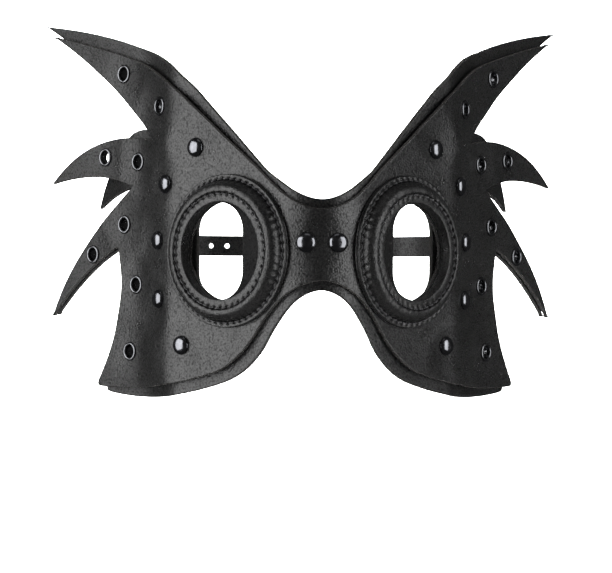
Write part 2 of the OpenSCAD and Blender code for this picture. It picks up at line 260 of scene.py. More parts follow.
def leather_sheet(name, outline, holes, place, thickness, material, pitch=2.2, ease=2, covered=None):
    """Cut leather with rounded edges.  place(s, z, depth) gives each point's position in mm.

    The last argument, when given, is 1 where another part lies over the leather and shades it; the material
    paints that shade as weaker, duller shine.
    """
    loops = [eased(evenly(outline, 1.1), ease)] + [evenly(h, max(0.6, pitch / 3)) for h in holes]
    for i, loop in enumerate(loops):
        if (area(loop) > 0) != (i == 0):
            loops[i] = loop[::-1]
    verts, faces, edge, cut = [], [], [], []
    inner, inner_index = [], []
    for loop in loops:
        starts = []
        for by, share in EDGE_TURN:
            starts.append(len(verts))
            for s, z in inset(loop, by):
                verts.append(place(s, z, share * thickness))
                cut.append((s, z))
            edge += [1.0 if by < 0.3 else 0.0] * len(loop)
        n = len(loop)
        for a, b in zip(starts, starts[1:]):
            faces += [(a + k, b + k, b + (k + 1) % n, a + (k + 1) % n) for k in range(n)]
        inner.append(inset(loop, EDGE_TURN[0][0]))
        inner_index.append((starts[0], starts[-1], n))
    flat = np.vstack(inner)
    low, high = inner[0].min(0), inner[0].max(0)
    grid = np.array([(x + (row % 2) * pitch / 2, y)
                     for row, y in enumerate(np.arange(low[1], high[1], pitch * 0.87))
                     for x in np.arange(low[0], high[0], pitch)])
    keep = inside(grid, inset(inner[0], pitch * 0.6))
    for hole in inner[1:]:
        keep &= ~inside(grid, inset(hole, pitch * 0.6))
    grid = grid[keep]
    points = [Vector(p) for p in np.vstack([flat, grid])]
    links, first = [], 0
    for _, _, n in inner_index:
        links += [(first + k, first + (k + 1) % n) for k in range(n)]
        first += n
    out_verts, _, triangles, source, _, _ = delaunay_2d_cdt(points, links, [], 0, 1e-6)
    middle = np.array([sum((out_verts[k] for k in t), Vector((0, 0))) / 3 for t in triangles])
    used = inside(middle, inner[0])
    for hole in inner[1:]:
        used &= ~inside(middle, hole)
    front, back = {}, {}
    for k, made_from in enumerate(source):
        at = made_from[0] if made_from else -1
        first = 0
        for face_start, back_start, n in inner_index:
            if 0 <= at - first < n:
                front[k], back[k] = face_start + at - first, back_start + at - first
            first += n
        if k not in front:
            s, z = out_verts[k]
            front[k] = len(verts)
            back[k] = len(verts) + 1
            verts += [place(s, z, 0), place(s, z, thickness)]
            edge += [0.0, 0.0]
            cut += [(s, z), (s, z)]
    for t, shown in zip(triangles, used):
        if shown:
            faces.append([front[k] for k in t])
            faces.append([back[k] for k in reversed(t)])
    marks = {"cut_edge": edge}
    # Mask of the painted shade where another part lies over the leather
    if covered:
        marks["covered"] = [covered(s, z) for s, z in cut]
    return new_piece(name, verts, faces, material, marks)


def lathe(profile, steps, wobble=None):
    """Points and faces of a closed profile of (radius, height) turned round +Z."""
    verts, faces = [], []
    n = len(profile)
    for i in range(steps):
        a = math.tau * i / steps
        for r, h in profile:
            if wobble:
                r, h = wobble(a, r, h)
            verts.append(Vector((r * math.cos(a), r * math.sin(a), h)))
    for i in range(steps):
        a, b = i * n, (i + 1) % steps * n
        faces += [(a + j, b + j, b + (j + 1) % n, a + (j + 1) % n) for j in range(n)]
    return verts, faces


def solid_lathe(profile, steps):
    """As lathe, for a profile that starts and ends on the axis."""
    verts = [Vector((0, 0, profile[0][1]))]
    faces = []
    rings = profile[1:-1]
    n = len(rings)
    for i in range(steps):
        a = math.tau * i / steps
        verts += [Vector((r * math.cos(a), r * math.sin(a), h)) for r, h in rings]
    verts.append(Vector((0, 0, profile[-1][1])))
    last = len(verts) - 1
    for i in range(steps):
        a, b = 1 + i * n, 1 + (i + 1) % steps * n
        faces.append((0, b, a))
        faces += [(a + j, b + j, b + j + 1, a + j + 1) for j in range(n - 1)]
        faces.append((a + n - 1, b + n - 1, last))
    return verts, faces


def outward(mesh):
    """Merges joined points and turns every face outward."""
    bm = bmesh.new()
    bm.from_mesh(mesh)
    bmesh.ops.remove_doubles(bm, verts=bm.verts, dist=1e-7)
    bmesh.ops.recalc_face_normals(bm, faces=bm.faces)
    bm.to_mesh(mesh)
    bm.free()


def shaped(name, built, place, material):
    """A piece from (points, faces), turned right side out and moved to its place."""
    piece = new_piece(name, *built, material)
    outward(piece.data)
    piece.data.transform(place)
    return piece


# ---- nodes ------------------------------------------------------------------


def linear(hex_colour):
    """An sRGB hex colour as linear RGBA."""
    parts = [int(hex_colour[k : k + 2], 16) / 255 for k in (1, 3, 5)]
    return tuple(c / 12.92 if c <= 0.04045 else ((c + 0.055) / 1.055) ** 2.4 for c in parts) + (1.0,)


def rgba(colour, times=1.0):
    """A colour as opaque RGBA, made that many times as light."""
    return tuple(min(1.0, c * times) for c in colour[:3]) + (1.0,)


def feed(tree, node, inputs):
    """Sets a node's inputs.  An input is a value, or a socket that is linked to it."""
    for key, value in inputs.items():
        if isinstance(value, bpy.types.NodeSocket):
            tree.links.new(value, node.inputs[key])
        else:
            node.inputs[key].default_value = value


def add(tree, kind, inputs=None, **settings):
    """Adds a node with its settings and inputs."""
    node = tree.nodes.new(kind)
    for name, value in settings.items():
        setattr(node, name, value)
    feed(tree, node, inputs or {})
    return node


def ramp(tree, value, low, high, a, b):
    """value from low to high turned to a to b."""
    inputs = {"Value": value, "From Min": low, "From Max": high, "To Min": a, "To Max": b}
    return add(tree, "ShaderNodeMapRange", inputs).outputs["Result"]


def product(tree, a, b):
    return add(tree, "ShaderNodeMath", {0: a, 1: b}, operation="MULTIPLY").outputs[0]


def blend_colour(tree, factor, a, b):
    return add(tree, "ShaderNodeMix", {0: factor, 6: a, 7: b}, data_type="RGBA").outputs[2]


def clouds(tree, place, size_mm, detail, **more):
    """Soft noise from 0 to 1, with features of that size."""
    inputs = {"Vector": place, "Scale": per_mm(size_mm), "Detail": detail, **more}
    return add(tree, "ShaderNodeTexNoise", inputs).outputs["Fac"]


def bump(tree, height, strength, depth_mm, under=None):
    """Normal of a relief of that depth, on top of another one if it is given."""
    inputs = {"Height": height, "Strength": strength, "Distance": depth_mm * MM}
    if under is not None:
        inputs["Normal"] = under
    return add(tree, "ShaderNodeBump", inputs).outputs["Normal"]


def new_material(name):
    """An empty material: (material, tree, shader, object coordinates)."""
    material = bpy.data.materials.new(name)
    material.use_nodes = True
    tree = material.node_tree
    tree.nodes.clear()
    shader = add(tree, "ShaderNodeBsdfPrincipled")
    add(tree, "ShaderNodeOutputMaterial", {"Surface": shader.outputs["BSDF"]})
    place = add(tree, "ShaderNodeTexCoord").outputs["Object"]
    return material, tree, shader, place


def per_mm(size_mm):
    """Texture scale for features of that size."""
    return 1000 / size_mm


def leather(name, colour, edge_colour, rough, pebble_mm, grain):
    """Pebble-embossed leather with a satin finish: soft broad highlights broken by small round grain.

    The cut edges are dyed and rubbed smooth, so they are a little lighter and shinier.
    """
    material, tree, shader, place = new_material(name)
    warp = add(tree, "ShaderNodeTexNoise", {"Vector": place, "Scale": per_mm(3.5), "Detail": 2.0})
    bent = add(tree, "ShaderNodeMix", {"Factor": 0.0006, 4: place, 5: warp.outputs["Color"]},
               data_type="VECTOR")
    cells = add(tree, "ShaderNodeTexVoronoi", {"Vector": bent.outputs[1], "Scale": per_mm(pebble_mm)},
                feature="SMOOTH_F1")
    pebbles = ramp(tree, cells.outputs["Distance"], 0.1, 0.75, 1.0, 0.0)
    pores = clouds(tree, place, 0.35, 3.0)
    creases = clouds(tree, place, 9, 5.0, Roughness=0.6, Distortion=0.4)
    cut = add(tree, "ShaderNodeAttribute", attribute_name="cut_edge").outputs["Fac"]
    covered = add(tree, "ShaderNodeAttribute", attribute_name="covered").outputs["Fac"]

    worn = ramp(tree, clouds(tree, place, 38, 3.0), 0.35, 0.75, 0.0, 0.55)
    face = blend_colour(tree, worn, rgba(colour), rgba(colour, 1.9))
    # Painted shade: the bottoms of the grain are darkened toward half the dye, as shade would fall there
    painted_grain_shade = ramp(tree, pebbles, 0.0, 0.5, 0.45, 0.0)
    face = blend_colour(tree, painted_grain_shade, face, rgba(colour, 0.5))

    gloss = ramp(tree, creases, 0.3, 0.7, rough - 0.05, rough + 0.07)
    gloss = product(tree, gloss, ramp(tree, cut, 0.0, 1.0, 1.0, 0.8))
    # Painted shade: back leather under an eye ring, which the ring shades, is made rougher so its highlights
    # dim
    ring_shade_roughness = add(tree, "ShaderNodeMath", {0: covered, 1: 0.4, 2: gloss}, operation="MULTIPLY_ADD")

    # Painted shade: the bottoms of the grain, and back leather that lies under an eye ring, give back less of
    # the light, where shade falls
    shine = ramp(tree, pebbles, 0.0, 0.7, 0.18, 0.56)
    shine = product(tree, shine, ramp(tree, covered, 0.0, 1.0, 1.0, 0.3))

    fine = bump(tree, pores, 0.25 * grain, 0.05)
    round_grain = bump(tree, pebbles, grain, 0.16, fine)
    folds = bump(tree, creases, 0.12, 0.9, round_grain)
    feed(tree, shader, {"Base Color": blend_colour(tree, cut, face, rgba(edge_colour)), "IOR": 1.6,
                        "Roughness": ring_shade_roughness.outputs[0], "Specular IOR Level": shine, "Normal": folds})
    return material


def plated_metal(name, colour, rough, wear):
    """Polished steel under black nickel: dark mirror with hazy rubbing and fine scratches."""
    material, tree, shader, place = new_material(name)
    haze = clouds(tree, place, 2.5, 4.0)
    rubbed = ramp(tree, haze, 0.4, 0.7, 0.0, 1.0)
    feed(tree, shader, {"Base Color": blend_colour(tree, rubbed, rgba(colour), rgba(colour, 1 + wear)),
                        "Roughness": ramp(tree, haze, 0.3, 0.7, rough, rough + 0.12), "Metallic": 1.0,
                        "Normal": bump(tree, clouds(tree, place, 0.3, 2.0), 0.12, 0.03)})
    return material


def waxed_thread(name, colour):
    """Twisted polyester thread, waxed: dark strands with a low sheen along each twist."""
    material, tree, shader, place = new_material(name)
    inputs = {"Vector": place, "Scale": per_mm(1.1), "Distortion": 1.5, "Detail": 1.0}
    twist = add(tree, "ShaderNodeTexWave", inputs, bands_direction="DIAGONAL").outputs["Fac"]
    # Painted sheen: the colour is lighter along the ridges of each twist
    feed(tree, shader, {"Base Color": blend_colour(tree, twist, rgba(colour), rgba(colour, 2.2)),
                        "Roughness": ramp(tree, twist, 0.0, 1.0, 0.5, 0.34),
                        "Normal": bump(tree, twist, 0.6, 0.1)})
    return material


def cell_foam(name, colour):
    """Die-cut EVA foam: dull, with an open cell texture."""
    material, tree, shader, place = new_material(name)
    inputs = {"Vector": place, "Scale": per_mm(0.8)}
    cells = add(tree, "ShaderNodeTexVoronoi", inputs).outputs["Distance"]
    feed(tree, shader, {"Base Color": blend_colour(tree, cells, rgba(colour), rgba(colour, 0.4)),
                        "Roughness": 0.85, "Normal": bump(tree, cells, 0.7, 0.3)})
    return material


def backdrop_paint(name, colour):
    """Matt white studio sweep, faintly mottled, and lit from behind so that no side of it goes grey."""
    material, tree, shader, place = new_material(name)
    mottled = blend_colour(tree, clouds(tree, place, 60, 3.0), rgba(colour), rgba(colour, 0.97))
    feed(tree, shader, {"Base Color": mottled, "Roughness": 0.9,
                        "Emission Color": (1, 1, 1, 1), "Emission Strength": 0.45})
    return material


def material_named(name, make, *values):
    """The material of that name, made only once."""
    return bpy.data.materials.get(name) or make(name, *values)


# ---- settings ---------------------------------------------------------------


def length(name, description, default_mm, low=0.0, high=0.5):
    return bpy.props.FloatProperty(name=name, description=description, default=default_mm * MM,
                                   min=low, max=high, unit="LENGTH", precision=5)


def colour(name, description, default):
    return bpy.props.FloatVectorProperty(name=name, description=description, default=linear(default),
                                         size=4, min=0, max=1, subtype="COLOR")


class MaskLeatherSettings(bpy.types.PropertyGroup):
    front_colour: colour("Front Layer", "Dye of the front layer", "#151515")
    back_colour: colour("Back Layer", "Dye of the back layer", "#131313")
    ring_colour: colour("Eye Rings", "Dye of the eye rings", "#151515")
    strap_colour: colour("Straps", "Dye of the head strap", "#161616")
    edge_colour: colour("Cut Edges", "Colour of the rubbed cut edges", "#2a2928")
    front_lift: length("Front Lift", "How far the front layer springs off the back one", 1.7)
    back_lift: length("Back Drop", "How far the back layer falls away at its free edges", 0.7)
    ripple: length("Ripple", "Height of the slow waves that wet-formed leather keeps", 0.25)
    pebble: length("Pebble", "Width of one embossed grain pebble", 0.9)


class MaskRingSettings(bpy.types.PropertyGroup):
    pucker: length("Pucker", "How deep the roll is drawn in at each stitch", 0.35)
    wrinkle: length("Wrinkle", "Height of the fine wrinkles on the roll", 0.22)
    fill: bpy.props.FloatProperty(name="Fill", description="How tight the roll is stuffed",
                                  default=0.85, min=0, max=1, subtype="FACTOR")
    thread: length("Thread", "Thickness of the sewing thread", 0.8)
    stitch: length("Stitch", "Length of one stitch", 2.9)
    outer_count: bpy.props.IntProperty(name="Outer Stitches", description="Stitches in the outer row",
                                       default=58, min=12, max=90)
    inner_count: bpy.props.IntProperty(name="Inner Stitches", description="Stitches in the inner row",
                                       default=45, min=12, max=90)
    thread_colour: colour("Thread Colour", "Dye of the thread", "#303031")
    foam_colour: colour("Foam Colour", "Colour of the foam in the roll", "#303030")


class MaskMetalSettings(bpy.types.PropertyGroup):
    rivet_colour: colour("Rivets", "Plating of the rivets", "#77787c")
    eyelet_colour: colour("Eyelets", "Plating of the eyelets", "#77787b")
    buckle_colour: colour("Buckle", "Plating of the buckle", "#7d7e83")
    rivet_width: length("Rivet Width", "Width of a rivet cap", 10.0)
    eyelet_width: length("Eyelet Width", "Width of an eyelet flange", 10.2)
    eyelet_bore: length("Eyelet Bore", "Clear bore of an eyelet", 6.4)


class MaskStageSettings(bpy.types.PropertyGroup):
    side_power: bpy.props.FloatProperty(name="Side Softboxes", description="Power of each side softbox",
                                        default=13.0, min=0, max=500, unit="POWER")
    floor_height: length("Floor Height", "Height of the floor", -500.0, -2.0, 0.0)
    white: colour("Backdrop", "Paint of the floor and backdrop", "#f4f4f4")


# ---- leather layers ---------------------------------------------------------


def settings(name):
    return getattr(bpy.context.scene, "mask_" + name)


# For each part: the material, its roughness, the size of its grain as a share, and how deep the grain is
LEATHERS = {
    "front": ("satin_pebbled_cowhide_front", 0.30, 1.0, 0.75),
    "back": ("satin_pebbled_cowhide_back", 0.33, 1.0, 0.75),
    "ring": ("wet_formed_calf_ring", 0.30, 0.8, 0.6),
    "strap": ("bridle_leather_strap", 0.36, 1.0, 0.6),
}


def leather_for(part):
    own = settings("leather")
    name, rough, pebble, grain = LEATHERS[part]
    dye = getattr(own, part + "_colour")
    return material_named(name, leather, dye, own.edge_colour, rough, own.pebble / MM * pebble, grain)


# Sizes of the cut-outs, how far from the ring's middle its flange holds, and where the points begin
RIVET_HOLE = 1.7
EYELET_HOLE = 3.8
RING_CUTOUT = 25.6
RING_HOLD = 41
POINTS_FROM = 128
POINTS_RUN = 40


def near_fastener(s, z, span):
    """1 at a rivet, an eyelet or the eye ring, falling to 0 over the span."""
    s = abs(s)
    closest = max(0.0, math.hypot(s - RING_AT[0], z - RING_AT[1]) - RING_HOLD)
    for a, b in BRIDGE_RIVETS + SIDE_RIVETS + EYELETS:
        closest = min(closest, math.hypot(s - a, z - b))
    return math.exp(-((closest / span) ** 2))


def slow_wave(s, z, size):
    """A smooth wave over the leather, from about -1 to 1."""
    return noise.noise(Vector((s / size, z / size, 3.7)))


def toward_tip(s):
    """1 on the cheek, falling to 0.25 out on the feather points, where both layers lie close."""
    return 1 - 0.75 * min(1.0, max(0.0, (abs(s) - POINTS_FROM) / POINTS_RUN))


def place_front(s, z, d):
    """The front layer: held at its fasteners, sprung off the back layer elsewhere."""
    own = settings("leather")
    free = toward_tip(s) * (1 - near_fastener(s, z, 17))
    lift = free * (own.front_lift / MM + 2 * own.ripple / MM * slow_wave(s, z, 26))
    return wrap(s, z, d - lift)


def on_tab(s, z):
    """True for the middle point of the back layer, which turns back at the temple."""
    s = abs(s)
    return s > 132 and 31 - (s - 131) * 0.45 < z < 66 + (s - 134) * 0.5


def place_back(s, z, d):
    """The back layer: flat on the face, falling back a little at its free edges."""
    own = settings("leather")
    free = toward_tip(s) * (1 - near_fastener(s, z, 20))
    drop = free * (own.back_lift / MM + 1.4 * own.ripple / MM * slow_wave(s + 400, z, 30))
    if on_tab(s, z):
        return wrap(s, z, BACK_D + d + drop, TAB_BENDS)
    return wrap(s, z, BACK_D + d + drop)


def under_ring(s, z):
    """1 where an eye ring covers the back layer; the leather material paints shade there."""
    return 1.0 if math.hypot(abs(s) - RING_AT[0], z - RING_AT[1]) < RING_R else 0.0


def fastener_holes():
    """Round holes for every rivet and eyelet on both sides."""
    holes = []
    for side in SIDES.values():
        holes += [circle((side * s, z), RIVET_HOLE, 12) for s, z in BRIDGE_RIVETS + SIDE_RIVETS]
        holes += [circle((side * s, z), EYELET_HOLE, 20) for s, z in EYELETS]
    return holes


class MASK_OT_front_layer(bpy.types.Operator):
    """Cut and form the front leather layer"""

    bl_idname = "mask.front_layer"
    bl_label = "Front Layer"

    def execute(self, context):
        holes = fastener_holes()
        holes += [circle((side * RING_AT[0], RING_AT[1]), RING_CUTOUT, 120) for side in SIDES.values()]
        pattern = whole(front_outline())
        piece = leather_sheet("front_layer", pattern, holes, place_front, LEATHER_T, leather_for("front"))
        attach(piece, "mask", "front_leather", "front_panel")
        return {"FINISHED"}


class MASK_OT_back_layer(bpy.types.Operator):
    """Cut and form the back leather layer with its temple tabs"""

    bl_idname = "mask.back_layer"
    bl_label = "Back Layer"

    def execute(self, context):
        holes = fastener_holes()
        middle, width, height = BACK_EYE
        holes += [slot_hole((side * middle, RING_AT[1]), width, height, 90) for side in SIDES.values()]
        pattern = whole(back_outline())
        # The back leather under each eye ring gets painted shade
        piece = leather_sheet("back_layer", pattern, holes, place_back, LEATHER_T, leather_for("back"),
                              covered=under_ring)
        attach(piece, "mask", "back_leather", "back_panel")
        return {"FINISHED"}


# ---- eye rings --------------------------------------------------------------

RING_R = 39.3
HOLE_R = 25
BASE_T = 1.6
COVER_T = 1.2
FLANGE_TOP = BASE_T + COVER_T
LIP_TOP = 7.6
ROLL_TOP = 8.3
ROLL_IN = 30
ROLL_MID = 31.2
ROLL_OUT = 36.1
OUTER_ROW = 36.9
INNER_ROW = 29.3
RING_STEPS = 464


def roll_arc(mid, rx, base, top, start, stop, n):
    """Part of the roll's oval section, between two angles in degrees."""
    angles = [math.radians(start + (stop - start) * k / n) for k in range(n + 1)]
    return [(mid + rx * math.cos(a), base + (top - base) * math.sin(a)) for a in angles]


def cover_profile():
    """Section of the ring's cover leather, from its outer edge over the roll to its inner wall."""
    outer = [(RING_R - 0.25, BASE_T), (RING_R, BASE_T + 0.3), (RING_R, FLANGE_TOP - 0.4),
             (RING_R - 0.15, FLANGE_TOP - 0.1), (RING_R - 0.5, FLANGE_TOP), (RING_R - 1.2, FLANGE_TOP),
             (OUTER_ROW + 0.6, FLANGE_TOP - 0.1), (OUTER_ROW, FLANGE_TOP - 0.25),
             (OUTER_ROW - 0.5, FLANGE_TOP - 0.1)]
    roll = roll_arc(ROLL_MID, ROLL_OUT - ROLL_MID, FLANGE_TOP, ROLL_TOP, 4, 90, 12)
    roll += roll_arc(ROLL_MID, ROLL_MID - ROLL_IN, LIP_TOP - 0.1, ROLL_TOP, 104, 176, 7)
    lip = [(INNER_ROW + 0.3, LIP_TOP - 0.25), (INNER_ROW, LIP_TOP - 0.3), (INNER_ROW - 0.6, LIP_TOP - 0.12),
           (27.4, LIP_TOP), (26.2, LIP_TOP), (HOLE_R + 0.5, LIP_TOP - 0.05), (HOLE_R + 0.15, LIP_TOP - 0.2),
           (HOLE_R, LIP_TOP - 0.6), (HOLE_R, LIP_TOP - 2.4), (HOLE_R, BASE_T + 0.4), (HOLE_R + 0.15, BASE_T)]
    under = [(HOLE_R + COVER_T, BASE_T), (HOLE_R + COVER_T, LIP_TOP - COVER_T), (ROLL_IN, LIP_TOP - COVER_T)]
    under += [(ROLL_MID, ROLL_TOP - 1.3), (ROLL_OUT - 2.2, 5.2), (ROLL_OUT - 1.3, FLANGE_TOP),
              (ROLL_OUT - 1.2, BASE_T)]
    return outer + roll + lip + under


class RollWobble:
    """Puckers at the stitches and fine wrinkles across the padded roll."""

    def __init__(self, side, own):
        self.side = side
        self.pucker = own.pucker / MM
        self.wrinkle = own.wrinkle / MM
        self.outer = own.outer_count
        self.inner = own.inner_count

    def __call__(self, a, r, h):
        if h < BASE_T + 0.6 or r < HOLE_R + 0.9:
            return r, h
        sunk, pulled = 0.0, 0.0
        rows = (OUTER_ROW, self.outer, 1.7, -1), (INNER_ROW, self.inner, 1.0, 1)
        for row, count, width, roll_side in rows:
            near = math.exp(-(((r - row) / width) ** 2))
            between = 0.5 + 0.5 * math.cos(count * a)
            hole = math.exp(-(((r - row - 0.1) / 0.5) ** 2)) * max(0.0, between - 0.6) / 0.4
            sunk += self.pucker * near * (between - 0.35) + 0.9 * hole
            if (r - row) * roll_side > 0.1:
                pulled += roll_side * self.pucker * near * (between - 0.35)
        crest = max(0.0, 1 - ((r - ROLL_MID) / 4.2) ** 2)
        across = noise.noise(Vector((18 * math.cos(a), 18 * math.sin(a), r * 0.35 + 9 * self.side)))
        slow = noise.noise(Vector((3 * math.cos(a), 3 * math.sin(a), 5.0 * self.side)))
        puff = self.wrinkle * crest * (across * 0.9 + slow * 1.6)
        return r + pulled, h - sunk + puff


class MASK_OT_eye_rings(bpy.types.Operator):
    """Form the padded goggle rings and their base washers"""

    bl_idname = "mask.eye_rings"
    bl_label = "Eye Rings"

    def execute(self, context):
        own = settings("ring")
        for name, side in SIDES.items():
            place = stand(side, RING_AT)
            built = lathe(cover_profile(), RING_STEPS, RollWobble(side, own))
            cover = shaped("eye_ring_roll_" + name, built, place, leather_for("ring"))
            attach(cover, "mask", "ring_leather", "eye_ring_cover_" + name)

            top = BASE_T - 0.05
            section = [(HOLE_R + 0.1, 0.3), (HOLE_R + 0.1, top - 0.3), (HOLE_R + 0.4, top),
                       (RING_R - 0.3, top), (RING_R + 0.1, top - 0.35), (RING_R + 0.1, 0.4),
                       (RING_R - 0.3, 0), (HOLE_R + 0.4, 0)]
            base = shaped("eye_ring_washer_" + name, lathe(section, 160), place, leather_for("back"))
            attach(base, "mask", "ring_leather", "eye_ring_base_" + name)

            foam = material_named("eva_foam_die_cut", cell_foam, own.foam_colour)
            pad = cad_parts["eye_ring_pad_" + name]
            pad.data.materials.clear()
            pad.data.materials.append(foam)
        return {"FINISHED"}


# ---- geometry node groups ---------------------------------------------------


def node_group(name, inputs):
    """An empty geometry node group with those float or integer inputs."""
    tree = bpy.data.node_groups.new(name, "GeometryNodeTree")
    tree.interface.new_socket("Geometry", in_out="INPUT", socket_type="NodeSocketGeometry")
    tree.interface.new_socket("Geometry", in_out="OUTPUT", socket_type="NodeSocketGeometry")
    for label, kind in inputs.items():
        tree.interface.new_socket(label, in_out="INPUT", socket_type="NodeSocket" + kind)
    return tree


def vector(tree, **parts):
    return add(tree, "ShaderNodeCombineXYZ", parts).outputs["Vector"]


def copy_to_points(tree, points, instance, rotation, material):
    """Ends a group with real copies of the instance, one on every point."""
    placed = add(tree, "GeometryNodeInstanceOnPoints", {"Points": points, "Instance": instance,
                                                        "Rotation": rotation})
    real = add(tree, "GeometryNodeRealizeInstances", {"Geometry": placed.outputs["Instances"]})
    done = add(tree, "GeometryNodeSetMaterial", {"Geometry": real.outputs["Geometry"], "Material": material})
    add(tree, "NodeGroupOutput", {"Geometry": done.outputs["Geometry"]})


def stitch_tree():
    """A ring of stitches: an arched thread on every point of a circle."""
    tree = bpy.data.node_groups.get("stitch_ring")
    if tree:
        return tree
    tree = node_group("stitch_ring", {"Count": "Int", "Radius": "Float", "Stitch Length": "Float",
                                      "Thread": "Float", "Height": "Float", "Material": "Material"})
    given = add(tree, "NodeGroupInput").outputs
    reach, thick = given["Stitch Length"], given["Thread"]
    ring = add(tree, "GeometryNodeCurvePrimitiveCircle", {"Resolution": 360, "Radius": given["Radius"]})
    points = add(tree, "GeometryNodeCurveToPoints", {"Curve": ring.outputs["Curve"], "Count": given["Count"]})
    raised = add(tree, "GeometryNodeSetPosition", {"Geometry": points.outputs["Points"],
                                                   "Offset": vector(tree, Z=given["Height"])})
    sunk = product(tree, thick, -0.75)
    arch = add(tree, "GeometryNodeCurveQuadraticBezier", {
        "Resolution": 8, "Middle": vector(tree, Z=product(tree, thick, 1.5)),
        "Start": vector(tree, Y=product(tree, reach, -0.5), Z=sunk),
        "End": vector(tree, Y=product(tree, reach, 0.5), Z=sunk)})
    section = add(tree, "GeometryNodeCurvePrimitiveCircle", {"Resolution": 8,
                                                             "Radius": product(tree, thick, 0.5)})
    thread = add(tree, "GeometryNodeCurveToMesh", {"Curve": arch.outputs["Curve"], "Fill Caps": True,
                                                   "Profile Curve": section.outputs["Curve"]})
    angle = add(tree, "FunctionNodeAlignRotationToVector", {"Vector": points.outputs["Tangent"]}, axis="Y")
    upright = add(tree, "FunctionNodeAlignRotationToVector", {"Rotation": angle.outputs["Rotation"],
                                                              "Vector": (0, 0, 1)}, axis="Z", pivot_axis="Y")
    copy_to_points(tree, raised.outputs["Geometry"], thread.outputs["Mesh"], upright.outputs["Rotation"],
                   given["Material"])
    return tree


def fastener_tree():
    """A copy of one fastener on every point of the carrier, turned to the point's stored direction."""
    tree = bpy.data.node_groups.get("fastener_set")
    if tree:
        return tree
    tree = node_group("fastener_set", {"Fastener": "Object", "Material": "Material"})
    given = add(tree, "NodeGroupInput").outputs
    lookup = add(tree, "GeometryNodeObjectInfo", {"Object": given["Fastener"]})
    facing = add(tree, "GeometryNodeInputNamedAttribute", {"Name": "facing"}, data_type="FLOAT_VECTOR")
    turned = add(tree, "FunctionNodeAlignRotationToVector", {"Vector": facing.outputs["Attribute"]}, axis="Z")
    points = add(tree, "GeometryNodeMeshToPoints", {"Mesh": given["Geometry"]})
    copy_to_points(tree, points.outputs["Points"], lookup.outputs["Geometry"], turned.outputs["Rotation"],
                   given["Material"])
    return tree


def grown(name, carrier, tree, values, material):
    """Runs a node group on a carrier mesh and returns the result as a plain piece."""
    holder = bpy.data.objects.new(name + "_carrier", carrier)
    bpy.context.scene.collection.objects.link(holder)
    modifier = holder.modifiers.new("grow", "NODES")
    modifier.node_group = tree
    names = {item.name: item.identifier for item in tree.interface.items_tree if item.in_out == "INPUT"}
    for label, value in values.items():
        modifier[names[label]] = value
    modifier[names["Material"]] = material
    bpy.context.view_layer.update()
    graph = bpy.context.evaluated_depsgraph_get()
    mesh = bpy.data.meshes.new_from_object(holder.evaluated_get(graph), depsgraph=graph)
    holder.modifiers.remove(modifier)
    bpy.data.objects.remove(holder)
    mesh.name = name
    return finish_piece(name, mesh, material)


class MASK_OT_stitching(bpy.types.Operator):
    """Sew both stitch rows round each eye ring"""

    bl_idname = "mask.stitching"
    bl_label = "Ring Stitching"

    def execute(self, context):
        own = settings("ring")
        thread = material_named("waxed_polyester_thread", waxed_thread, own.thread_colour)
        rows = (("outer", own.outer_count, OUTER_ROW, FLANGE_TOP - 0.1),
                ("inner", own.inner_count, INNER_ROW, LIP_TOP - 0.15))
        for name, side in SIDES.items():
            for row, count, radius, height in rows:
                values = {"Count": count, "Radius": radius * MM, "Stitch Length": own.stitch,
                          "Thread": own.thread, "Height": height * MM}
                carrier = bpy.data.meshes.new("stitch_carrier")
                piece = grown(f"{row}_stitching_{name}", carrier, stitch_tree(), values, thread)
                half_pitch = Matrix.Rotation(math.pi / count, 4, "Z")
                piece.data.transform(stand(side, RING_AT) @ half_pitch)
                attach(piece, "mask", "thread", f"{row}_stitches_{name}")
        return {"FINISHED"}


# ---- rivets and eyelets -----------------------------------------------------

CAP_RIM = 0.7
CAP_H = 3.0
WASHER_T = 0.6


def cap_profile(width):
    """Section of a double-cap rivet's dome, from its underside to its crown."""
    r = width / 2
    dome = CAP_H - CAP_RIM
    points = [(0, 0), (r - 0.8, 0), (r - 0.3, 0.05), (r - 0.05, 0.25), (r, CAP_RIM - 0.15)]
    # Nearly flat on top, turning down in a tight shoulder
    points += [(r * math.sin(a), CAP_RIM + dome * max(0.0, 1 - math.sin(a) ** 2.4) ** 0.62)
               for a in np.linspace(math.pi / 2, 0, 18)]
    return points


def post_profile(depth):
    """Section of a rivet post and its dished foot behind leather of that depth."""
    foot = 4.5
    dish = [(0, 1.35), (2.2, 1.33), (foot - 0.9, 1.3), (foot - 0.25, 1.15), (foot, 0.85),
            (foot - 0.1, 0.55), (foot - 0.5, 0.42), (2.2, 0.06), (1.55, 0), (1.5, -0.5)]
    return [(r, -depth - down) for r, down in dish] + [(1.5, 1.2), (1.3, 1.5), (0, 1.5)]


def eyelet_profile(bore, width, depth):
    """Section of a rolled eyelet through leather of that depth."""
    inner, rim = bore / 2, width / 2
    back = -depth - 0.3 - WASHER_T
    middle, half = (inner + rim) / 2, (rim - inner) / 2
    dome = [(middle - half * math.cos(a), 0.2 + 0.9 * math.sin(a)) for a in np.linspace(0, math.pi, 13)]
    under = [(rim - 0.3, 0.1), (inner + 0.9, 0.02), (inner + 0.45, -0.3), (inner + 0.45, back),
             (inner + 1.1, back)]
    lip = [(inner + 1.25, back - 0.15), (inner + 1.0, back - 0.42), (inner + 0.4, back - 0.5),
           (inner, back - 0.2)]
    return dome + under + lip


def washer_profile(bore, width, depth):
    """Section of the flat washer behind an eyelet."""
    inner, rim = bore / 2 + 0.5, width / 2
    low = -depth - 0.3 - WASHER_T
    top = low + WASHER_T
    return [(inner, low), (inner, top), (rim - 0.15, top), (rim, top - 0.15), (rim, low + 0.2),
            (rim - 0.2, low)]


